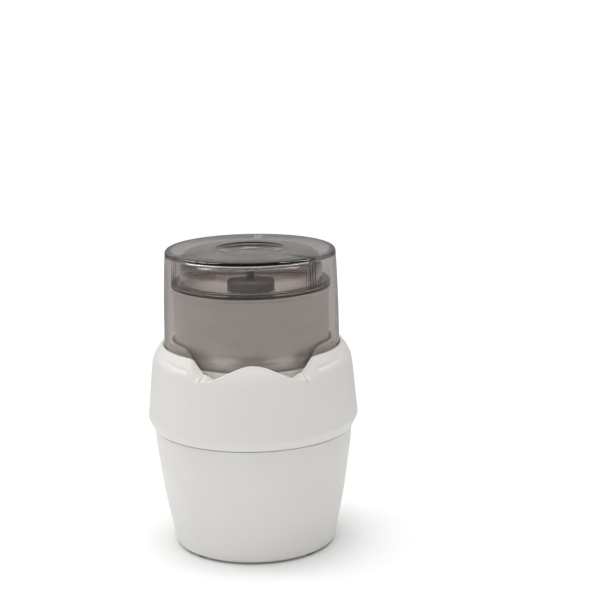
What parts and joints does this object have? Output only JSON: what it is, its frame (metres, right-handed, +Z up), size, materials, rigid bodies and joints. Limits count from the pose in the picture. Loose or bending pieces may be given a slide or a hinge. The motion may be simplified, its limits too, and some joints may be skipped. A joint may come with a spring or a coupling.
{
  "type": "press-to-run food chopper",
  "caption": "Press-to-run food chopper: tapered motor base with a wavy-rimmed collar, metal bowl with blades, inner lid and a clear smoke-grey press cover",
  "frame": {"origin": "centre of the footprint, on the plane the feet rest on", "axes": "+Z up along the motor axis, -Y towards the front with the wave in the collar rim, +X to the right seen from the front"},
  "size_m": [0.1414, 0.1414, 0.202],
  "materials": {
    "white_plastic": "warm white moulded plastic, satin gloss",
    "smoked_plastic": "clear smoke-grey moulded plastic",
    "smoked_plastic_lid": "clear smoke-grey moulded plastic",
    "bowl_steel": "satin stainless sheet",
    "blade_steel": "ground stainless blade steel",
    "bright_steel": "plain bright steel",
    "seal_black": "near-black sealing rubber",
    "rubber_black": "black rubber",
    "hub_plastic": "near-black moulded plastic",
    "inner_plastic": "dark glass-filled moulding",
    "lamination_iron": "stacked electrical steel sheets",
    "copper_wire": "enamelled copper wire",
    "copper_bars": "copper bars",
    "bearing_brass": "brass and sintered bronze",
    "carbon": "pressed carbon",
    "red_plastic": "red moulded plastic"
  },
  "bodies": {
    "base": {"lower_housing": "white_plastic", "upper_collar": "white_plastic", "base_plate": "white_plastic", "foot_front_left": "rubber_black", "foot_front_right": "rubber_black", "foot_back_left": "rubber_black", "foot_back_right": "rubber_black", "base_screws": "bright_steel", "collar_screws": "bright_steel", "cord_gland": "rubber_black", "chassis_plate": "inner_plastic", "lower_bracket": "inner_plastic", "motor_bolts": "bright_steel", "stator_core": "lamination_iron", "field_coils": "copper_wire", "upper_bearing": "bearing_brass", "lower_bearing": "bearing_brass", "brush_holders": "bearing_brass", "carbon_brushes": "carbon", "spindle_seal": "rubber_black", "switch_body": "inner_plastic", "return_springs": "bright_steel"},
    "rotor": {"motor_shaft": "bright_steel", "armature_core": "lamination_iron", "armature_windings": "copper_wire", "commutator": "copper_bars", "cooling_fan": "inner_plastic", "drive_spindle": "bright_steel"},
    "press_ring": {"press_ring": "white_plastic"},
    "switch_plunger": {"switch_plunger": "red_plastic"},
    "bowl": {"bowl": "bowl_steel", "bowl_gasket": "seal_black"},
    "blades": {"blade_hub": "hub_plastic", "hub_socket": "bearing_brass", "lower_blade": "blade_steel", "upper_blade": "blade_steel"},
    "lid": {"inner_lid": "smoked_plastic_lid", "lid_pivot": "hub_plastic"},
    "cover": {"press_cover": "smoked_plastic"}
  },
  "joints": [
    {"name": "armature_spin", "type": "hinge", "parent": "base", "child": "rotor", "pos_m": [0, 0, 0.056], "axis": [0, 0, 1], "continuous": true},
    {"name": "stack_press", "type": "slide", "parent": "base", "child": "press_ring", "axis": [0, 0, 1], "range_m": [-0.003, 0], "stiffness_N_per_m": 3000, "springref_m": 0.004, "deforming": ["return_springs"]},
    {"name": "switch_press", "type": "slide", "parent": "base", "child": "switch_plunger", "axis": [0, 0, 1], "range_m": [-0.003, 0]},
    {"name": "bowl_lift", "type": "slide", "parent": "press_ring", "child": "bowl", "axis": [0, 0, 1], "range_m": [0, 0.075]},
    {"name": "blade_spin", "type": "hinge", "parent": "bowl", "child": "blades", "pos_m": [0, 0, 0.145], "axis": [0, 0, 1], "continuous": true},
    {"name": "lid_lift", "type": "slide", "parent": "bowl", "child": "lid", "axis": [0, 0, 1], "range_m": [0, 0.06]},
    {"name": "cover_lift", "type": "slide", "parent": "lid", "child": "cover", "axis": [0, 0, 1], "range_m": [0, 0.09]}
  ],
  "couplings": [
    {"joint": "blade_spin", "follows": "armature_spin", "ratio": 1},
    {"joint": "switch_press", "follows": "stack_press", "ratio": 1}
  ]
}
